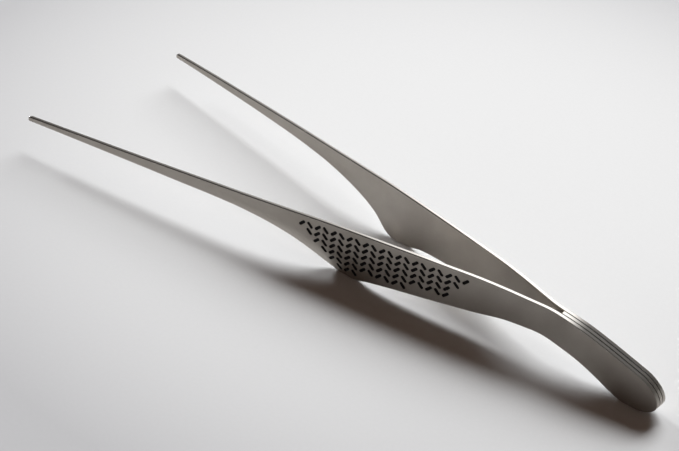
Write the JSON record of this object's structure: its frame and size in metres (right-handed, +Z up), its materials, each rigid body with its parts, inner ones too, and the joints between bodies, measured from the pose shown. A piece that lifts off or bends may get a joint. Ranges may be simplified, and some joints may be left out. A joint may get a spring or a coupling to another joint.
{
  "type": "kitchen tongs",
  "caption": "Long-nosed kitchen tongs of sheet steel: mirrored sprung arms on a flat tail spacer, slim tips, and a deep grip with dark slanted bars.",
  "frame": {"origin": "centre of the bounding box, at the level of the feet that the tongs lie on", "axes": "+X from the tips towards the welded tail, +Y from the near arm to the far arm, +Z up from the surface that the tongs lie on"},
  "size_m": [0.21, 0.067, 0.017],
  "materials": {
    "arm_steel": "satin stainless steel, finely brushed along the arm, with bright polished edges",
    "spacer_steel": "satin stainless steel, ground flush with the arms",
    "weld_steel": "dull weld steel, hidden between the layers",
    "grip_enamel": "black enamel that fills the slanted bars of the grip"
  },
  "bodies": {
    "tail": {"near_arm_tail": "arm_steel", "far_arm_tail": "arm_steel", "tail_spacer": "spacer_steel", "near_weld_rear": "weld_steel", "near_weld_middle": "weld_steel", "near_weld_front": "weld_steel", "far_weld_rear": "weld_steel", "far_weld_middle": "weld_steel", "far_weld_front": "weld_steel"},
    "near_blade": {"near_arm_blade": "arm_steel"},
    "far_blade": {"far_arm_blade": "arm_steel"}
  },
  "joints": [
    {"name": "near_flex", "type": "hinge", "parent": "tail", "child": "near_blade", "pos_m": [0.0686, -0.00168, 0], "axis": [0, 0, -1], "range_deg": [0, 10.4], "stiffness_Nm_per_rad": 15.4},
    {"name": "far_flex", "type": "hinge", "parent": "tail", "child": "far_blade", "pos_m": [0.0686, 0.00168, 0], "axis": [0, 0, 1], "range_deg": [0, 10.4], "stiffness_Nm_per_rad": 15.4}
  ],
  "couplings": [
    {"joint": "far_flex", "follows": "near_flex", "ratio": 1}
  ]
}
